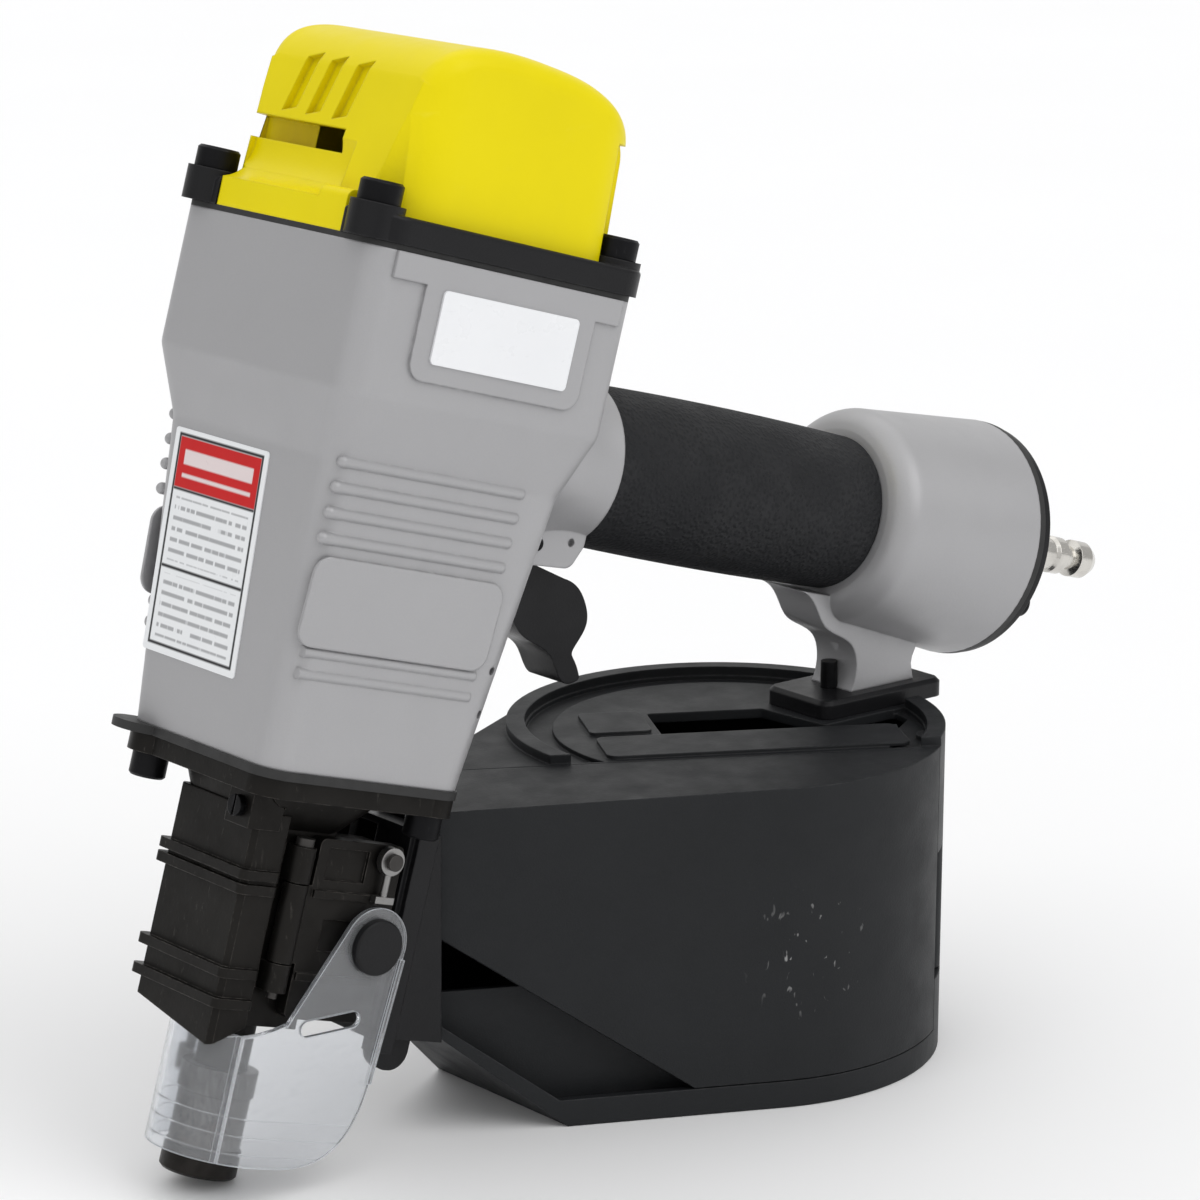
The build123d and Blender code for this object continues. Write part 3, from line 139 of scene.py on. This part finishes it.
def shade(colour, factor):
    return tuple(min(1.0, c * factor) for c in colour)


def cast_paint():
    base = (0.385, 0.383, 0.392)
    look = Look("cast_paint", Metallic=0.3, IOR=1.5, Specular_IOR_Level=0.4)
    look.rounded(0.0009)
    # Edges turn lighter: partly worn paint, partly a painted highlight along the rounded edges.
    wear_and_highlight = look.calc("MULTIPLY", look.edges(), look.ramp(look.noise(260, 4), 0.5, 0.72))
    # Painted shade: the paint turns a darker copy of its grey in corners and slots, broken up by noise.
    dust_and_shade = look.calc("MULTIPLY", look.cavity(0.006), look.ramp(look.noise(120, 4), 0.35, 0.75, 0.35, 1.0))
    cloud = look.mix(look.noise(14, 4), shade(base, 0.94), shade(base, 1.05))
    flake = look.mix(look.ramp(look.noise(5200, 1), 0.35, 0.7), shade(base, 0.95), shade(base, 1.06))
    body = look.mix(0.5, cloud, flake)
    body = look.mix(look.calc("MULTIPLY", dust_and_shade, 0.55), body, shade(base, 0.42))
    look.colour(look.mix(look.calc("MULTIPLY", wear_and_highlight, 0.5), body, (0.60, 0.60, 0.61)))
    look.rough(look.ramp(look.noise(60, 4), 0.3, 0.7, 0.36, 0.5))
    look.raise_by(look.noise(1100, 3), 0.000035)
    look.raise_by(look.noise(160, 2), 0.00007)
    return look.done()


def yellow_cap():
    base = (0.79, 0.655, 0.0)
    look = Look("yellow_cap", IOR=1.5, Specular_IOR_Level=0.16)
    look.rounded(0.0008)
    # Painted shade: the yellow turns darker brown in corners and slots, broken up by noise.
    dust_and_shade = look.calc("MULTIPLY", look.cavity(0.005), look.ramp(look.noise(150, 4), 0.3, 0.8))
    cloud = look.mix(look.noise(22, 4), shade(base, 0.93), (0.85, 0.71, 0.0))
    rub = look.ramp(look.noise(90, 6, 0.7, look.stretched(1, 1, 3)), 0.62, 0.78)
    body = look.mix(look.calc("MULTIPLY", rub, 0.12), cloud, (0.92, 0.82, 0.12))
    look.colour(look.mix(look.calc("MULTIPLY", dust_and_shade, 0.5), body, (0.30, 0.22, 0.01)))
    look.rough(look.ramp(look.noise(70, 5, 0.65), 0.3, 0.75, 0.3, 0.48))
    look.raise_by(look.noise(900, 2), 0.00003)
    look.raise_by(look.noise(90, 3), 0.00012)
    return look.done()


def moulding(name, base, roughness, grain=2100, relief=0.00004, metallic=0.0):
    """Black or charcoal nylon with a spark-eroded grain, rubbed paler on its edges."""
    look = Look(name, IOR=1.48, Metallic=metallic, Specular_IOR_Level=0.22)
    look.rounded(0.0007)
    wear_and_highlight = look.calc("MULTIPLY", look.edges(), look.ramp(look.noise(300, 5, 0.65), 0.42, 0.7))
    dust_and_shade = look.calc("MULTIPLY", look.cavity(0.008), look.ramp(look.noise(90, 5), 0.4, 0.75))
    cloud = look.mix(look.noise(25, 5, 0.6), shade(base, 0.8), shade(base, 1.25))
    body = look.mix(look.calc("MULTIPLY", dust_and_shade, 0.08), cloud, (0.10, 0.095, 0.09))
    look.colour(look.mix(look.calc("MULTIPLY", wear_and_highlight, 0.3), body, (0.10, 0.10, 0.105)))
    look.rough(look.ramp(look.noise(80, 5, 0.6), 0.3, 0.75, roughness - 0.07, roughness + 0.09))
    look.raise_by(look.noise(grain, 3, 0.6), relief)
    look.raise_by(look.cells(grain * 0.6), relief * 0.6)
    return look


def magazine_moulding():
    look = moulding("magazine_moulding", (0.013, 0.014, 0.0155), 0.5)
    # A patch of short pale scratches on the near flat of the cover.
    patch = look.ramp(look.distance_mm((-20.0, -62.0, 47.0)), 22, 6)
    fine = look.noise(420, 2, 0.5, look.stretched(1.0, 1.0, 0.45), 0.8)
    scratch = look.calc("MULTIPLY", patch, look.ramp(fine, 0.66, 0.72))
    colour = look.shader.inputs["Base Color"].links[0].from_socket
    look.colour(look.mix(look.calc("MULTIPLY", scratch, 0.8), colour, (0.35, 0.35, 0.35)))
    return look.done()


def grip_rubber():
    base = (0.014, 0.0145, 0.016)
    look = Look("grip_rubber", IOR=1.45, Specular_IOR_Level=0.22)
    look.rounded(0.0008)
    bumps = look.cells(820, "SMOOTH_F1")
    pits = look.ramp(bumps, 0.15, 0.55)
    dust_and_shade = look.calc("MULTIPLY", pits, look.ramp(look.noise(60, 5), 0.35, 0.8))
    cloud = look.mix(look.noise(35, 4), shade(base, 0.75), shade(base, 1.3))
    look.colour(look.mix(look.calc("MULTIPLY", dust_and_shade, 0.4), cloud, (0.045, 0.045, 0.047)))
    look.rough(look.ramp(look.noise(50, 4), 0.3, 0.75, 0.62, 0.8))
    look.raise_by(pits, -0.00028)
    look.raise_by(look.noise(2600, 2), 0.00005)
    return look.done()


def seal_rubber(name="seal_rubber", base=(0.012, 0.012, 0.012)):
    look = Look(name, IOR=1.5)
    look.rounded(0.0003)
    look.colour(look.mix(look.noise(120, 4), shade(base, 0.7), shade(base, 1.6)))
    look.rough(look.ramp(look.noise(200, 4), 0.3, 0.7, 0.5, 0.68))
    look.raise_by(look.noise(1500, 3), 0.00003)
    return look.done()


def black_steel(name="black_steel", base=(0.013, 0.012, 0.011), worn_colour=(0.13, 0.12, 0.11),
                scratch=0.3):
    """Black-oxide steel: warm dark film, bare metal on the edges, fine drag marks."""
    look = Look(name, Metallic=0.75, IOR=1.5, Specular_IOR_Level=0.3)
    look.rounded(0.0005)
    wear_and_highlight = look.calc("MULTIPLY", look.edges(), look.ramp(look.noise(420, 5, 0.65), 0.4, 0.64))
    drag = look.ramp(look.noise(240, 5, 0.7, look.stretched(3.0, 3.0, 0.5), 0.4), 0.62, 0.74)
    # Painted shade: the steel turns darker still in corners and slots, broken up by noise.
    cavity_shade = look.calc("MULTIPLY", look.cavity(0.006), look.ramp(look.noise(160, 4), 0.3, 0.7))
    cloud = look.mix(look.noise(45, 5, 0.62), shade(base, 0.65), shade(base, 1.7))
    body = look.mix(look.calc("MULTIPLY", drag, scratch), cloud, worn_colour)
    body = look.mix(look.calc("MULTIPLY", cavity_shade, 0.7), body, (0.010, 0.009, 0.008))
    look.colour(look.mix(look.calc("MULTIPLY", wear_and_highlight, 0.75), body, worn_colour))
    look.rough(look.ramp(look.noise(130, 5, 0.6), 0.3, 0.75, 0.34, 0.56))
    look.raise_by(look.noise(700, 4, 0.6), 0.00004)
    look.raise_by(drag, -0.00002)
    return look.done()


def bare_metal(name, base, low, high, stretch=(1.0, 1.0, 12.0), metallic=1.0):
    """Turned or ground metal with fine marks across its length."""
    look = Look(name, Metallic=metallic)
    look.rounded(0.0003)
    marks = look.noise(500, 4, 0.6, look.stretched(*stretch))
    stain = look.ramp(look.noise(110, 5, 0.6), 0.5, 0.8)
    body = look.mix(marks, shade(base, 0.8), shade(base, 1.15))
    look.colour(look.mix(look.calc("MULTIPLY", stain, 0.35), body, shade(base, 0.45)))
    look.rough(look.ramp(marks, 0.3, 0.7, low, high))
    look.raise_by(marks, 0.000015)
    return look.done()


def foot_steel():
    """Contact foot: black band at the tip, scratched bare tube above it."""
    look = Look("foot_steel", Metallic=0.9)
    look.rounded(0.0005)
    height = look.tool_mm()["Z"]
    uneven = look.ramp(look.noise(300, 4), 0, 1, -1.2, 1.2)
    band = look.ramp(look.calc("ADD", height, uneven), 9.4, 8.2)
    drag = look.noise(300, 5, 0.7, look.stretched(3.5, 3.5, 0.6), 0.6)
    metal = look.mix(look.ramp(drag, 0.35, 0.68), (0.025, 0.022, 0.020), (0.16, 0.15, 0.14))
    rust = look.calc("MULTIPLY", look.ramp(look.noise(170, 5, 0.7), 0.56, 0.7), 0.6)
    metal = look.mix(rust, metal, (0.06, 0.033, 0.022))
    black = look.mix(look.noise(260, 4), (0.012, 0.011, 0.010), (0.035, 0.032, 0.03))
    look.colour(look.mix(band, metal, black))
    look.rough(look.ramp(drag, 0.3, 0.7, 0.3, 0.55))
    look.raise_by(drag, 0.00004)
    return look.done()


def clear_sheet():
    """Clear polycarbonate: hazy rubbed edges, faint moulded lines near the bottom."""
    look = Look("clear_sheet", IOR=1.49)
    look.rounded(0.0006)
    height = look.tool_mm()["Z"]
    scuff = look.ramp(look.noise(160, 6, 0.72, look.stretched(1, 1, 2.2), 0.6), 0.52, 0.8)
    wave = look.calc("SINE", look.calc("MULTIPLY", height, 1.25))
    lines = look.calc("MULTIPLY", look.ramp(wave, 0.93, 0.99), look.ramp(height, 27, 25))
    haze = look.calc("MAXIMUM", look.edges(0.99, 0.9), look.calc("MULTIPLY", lines, 0.28))
    haze = look.calc("MAXIMUM", haze, look.ramp(scuff, 0.0, 1.0, 0.09, 0.2))
    look.colour(look.mix(haze, (0.90, 0.92, 0.95), (0.78, 0.81, 0.86)))
    look.put(look.shader.inputs["Transmission Weight"], look.ramp(haze, 0.0, 1.0, 0.97, 0.35))
    look.rough(look.ramp(haze, 0.0, 1.0, 0.05, 0.35))
    look.raise_by(look.noise(35, 1), 0.0001)
    look.raise_by(lines, 0.00004)
    return look.done()


def white_plate():
    look = Look("white_plate", IOR=1.5, Coat_Weight=0.3, Coat_Roughness=0.15)
    look.rounded(0.0003)
    base = look.mix(look.noise(40, 4), (0.80, 0.81, 0.83), (0.86, 0.87, 0.885))
    scuff = look.ramp(look.noise(260, 5, 0.7, look.stretched(1, 1, 4)), 0.62, 0.75)
    look.colour(look.mix(look.calc("MULTIPLY", scuff, 0.3), base, (0.6, 0.6, 0.62)))
    look.rough(look.ramp(look.noise(90, 4), 0.3, 0.7, 0.24, 0.36))
    look.raise_by(look.noise(500, 2), 0.000015)
    return look.done()


LABEL_LEFT, LABEL_TOP = 31.5, 203.0         # tool frame, millimetres
LABEL_WIDTH, LABEL_HEIGHT = 44.0, 63.0
HEADER_END, DIVIDER = 0.27, 0.612           # fractions down the label
ROWS = 21.0                                 # grey rules down the whole label


def printed_label():
    """Generic label: red header, white field with grey rules, black frame. No lettering."""
    look = Look("printed_label", IOR=1.5, Specular_IOR_Level=0.25)
    place = look.tool_mm()
    u = look.calc("DIVIDE", look.calc("SUBTRACT", LABEL_LEFT, place["Y"]), LABEL_WIDTH)
    v = look.calc("DIVIDE", look.calc("SUBTRACT", LABEL_TOP, place["Z"]), LABEL_HEIGHT)

    def band(value, low, high, soft=0.004):
        rise = look.ramp(value, low - soft, low + soft)
        return look.calc("MULTIPLY", rise, look.ramp(value, high + soft, high - soft))

    def both(a, b):
        return look.calc("MULTIPLY", a, b)

    def either(a, b):
        return look.calc("MAXIMUM", a, b)

    inside = both(band(u, 0.045, 0.955), band(v, 0.032, 0.968))
    inner = both(band(u, 0.065, 0.935), band(v, 0.046, 0.954))
    header = both(inner, band(v, 0.046, HEADER_END))
    lines = either(band(v, HEADER_END, HEADER_END + 0.012), band(v, DIVIDER, DIVIDER + 0.014))
    dark = either(look.calc("SUBTRACT", inside, inner), both(inner, lines))
    # Rules broken into dashes by a coarse noise, row by row.
    rows = look.calc("MULTIPLY", v, ROWS)
    along = look.calc("MULTIPLY", u, 17.0)
    down = look.calc("MULTIPLY", look.calc("FLOOR", rows), 3.7)
    dash_place = look.node("ShaderNodeCombineXYZ", {0: along, 1: down}).outputs[0]
    dashes = look.ramp(look.noise(1.3, 1, 0.5, dash_place), 0.36, 0.44)
    field = both(band(u, 0.11, 0.89), either(band(v, 0.31, 0.59), band(v, 0.65, 0.93)))
    rules = both(both(band(look.calc("FRACT", rows), 0.3, 0.66, 0.07), dashes), field)
    # Plain pale bars in the header.
    bars = both(band(u, 0.13, 0.87), either(band(v, 0.10, 0.165), band(v, 0.205, 0.222)))
    ground = look.mix(look.noise(60, 4), (0.78, 0.80, 0.82), (0.86, 0.87, 0.88))
    red = look.mix(look.noise(70, 4), (0.50, 0.003, 0.004), (0.60, 0.006, 0.007))
    colour = look.mix(header, ground, red)
    colour = look.mix(look.calc("MULTIPLY", bars, 0.85), colour, (0.80, 0.78, 0.78))
    colour = look.mix(look.calc("MULTIPLY", rules, 0.6), colour, (0.10, 0.10, 0.11))
    look.colour(look.mix(dark, colour, (0.02, 0.02, 0.022)))
    look.rough(look.ramp(look.noise(110, 4), 0.3, 0.7, 0.26, 0.4))
    look.raise_by(look.noise(300, 3), 0.00002)
    return look.done()


finishes = {
    "silver_casting": cast_paint(),
    "yellow_cap": yellow_cap(),
    "black_polymer": moulding("black_moulding", (0.008, 0.008, 0.009), 0.36).done(),
    "magazine_polymer": magazine_moulding(),
    "grip_rubber": grip_rubber(),
    "seal_rubber": seal_rubber(),
    "bumper_rubber": seal_rubber("bumper_rubber", (0.06, 0.05, 0.04)),
    "black_steel": black_steel(),
    "steel": bare_metal("ground_steel", (0.50, 0.49, 0.48), 0.22, 0.42),
    "alloy": bare_metal("turned_alloy", (0.60, 0.61, 0.62), 0.28, 0.45),
    "black_screw": black_steel("screw_oxide", (0.008, 0.008, 0.009), (0.08, 0.08, 0.085), 0.15),
    "nickel": bare_metal("nickel_plate", (0.66, 0.64, 0.60), 0.12, 0.28),
    "clear_sheet": clear_sheet(),
    "white_plate": white_plate(),
    "printed_label": printed_label(),
}
dark_pin = black_steel("dark_pin", (0.055, 0.052, 0.05), (0.16, 0.155, 0.15), 0.25)
special = {"contact_foot": foot_steel(), "cover_screw": finishes["black_screw"], "door_hinge_pin": dark_pin,
           "cover_hinge_pin": finishes["black_screw"],
           "latch_pin": dark_pin,
           "door_latch": bare_metal("latch_wire", (0.30, 0.295, 0.29), 0.25, 0.45)}
for name, obj in nodes.items():
    obj.data.materials.clear()
    obj.data.materials.append(special.get(name, finishes[slot_of[name]]))

# ---- Floor, lights and camera -------------------------------------------------------------
FLOOR_HALF, FLOOR_Z = 12.0, -0.0002
corners = [(x * FLOOR_HALF, y * FLOOR_HALF, FLOOR_Z) for x, y in ((-1, -1), (1, -1), (1, 1), (-1, 1))]
floor_mesh = bpy.data.meshes.new("floor")
floor_mesh.from_pydata(corners, [], [(0, 1, 2, 3)])
floor = bpy.data.objects.new("floor", floor_mesh)
bpy.context.scene.collection.objects.link(floor)
pale = Look("pale_floor", Roughness=0.6)
pale.colour(pale.mix(pale.noise(3, 2), (0.90, 0.90, 0.905), (0.92, 0.92, 0.925)))
floor.data.materials.append(pale.done())

world = bpy.data.worlds.new("studio")
bpy.context.scene.world = world
world.use_nodes = True
world.node_tree.nodes["Background"].inputs["Color"].default_value = (1.0, 1.0, 1.0, 1.0)
world.node_tree.nodes["Background"].inputs["Strength"].default_value = 0.55


def soft_sun(name, direction, spread, power):
    """Even light over the whole floor, arriving from `direction`."""
    data = bpy.data.lights.new(name, "SUN")
    data.angle, data.energy = radians(spread), power
    lamp = bpy.data.objects.new(name, data)
    lamp.rotation_euler = Vector(direction).to_track_quat("Z", "Y").to_euler()
    bpy.context.scene.collection.objects.link(lamp)


soft_sun("key", (0.35, -1.0, 0.9), 50, 0.95)
soft_sun("fill", (-1.0, -0.45, 0.7), 80, 0.35)
soft_sun("top", (-0.1, 0.2, 1.0), 80, 0.8)
soft_sun("back", (0.7, 1.0, 0.8), 80, 0.35)

# The camera looks from the front left, a little above the handle.
AZIMUTH, ELEVATION, ROLL = radians(-39.58), radians(14.17), radians(0.27)
AIM = Vector((-0.13716, -0.10622, 0.17959))
DISTANCE = 1.13184
SENSOR, LENS = 36.0, 130.8567               # millimetres
back = Vector((sin(AZIMUTH) * cos(ELEVATION), -cos(AZIMUTH) * cos(ELEVATION), sin(ELEVATION)))
right = Vector((cos(AZIMUTH), sin(AZIMUTH), 0.0))
up = back.cross(right)
across = right * cos(ROLL) + up * sin(ROLL)
over = up * cos(ROLL) - right * sin(ROLL)
camera_data = bpy.data.cameras.new("camera")
camera_data.sensor_width = SENSOR
camera_data.lens = LENS
camera = bpy.data.objects.new("camera", camera_data)
eye = AIM + back * DISTANCE
camera.matrix_world = Matrix(((across.x, over.x, back.x, eye.x), (across.y, over.y, back.y, eye.y),
                              (across.z, over.z, back.z, eye.z), (0.0, 0.0, 0.0, 1.0)))
bpy.context.scene.collection.objects.link(camera)
bpy.context.scene.camera = camera
bpy.context.scene.view_settings.view_transform = "Standard"
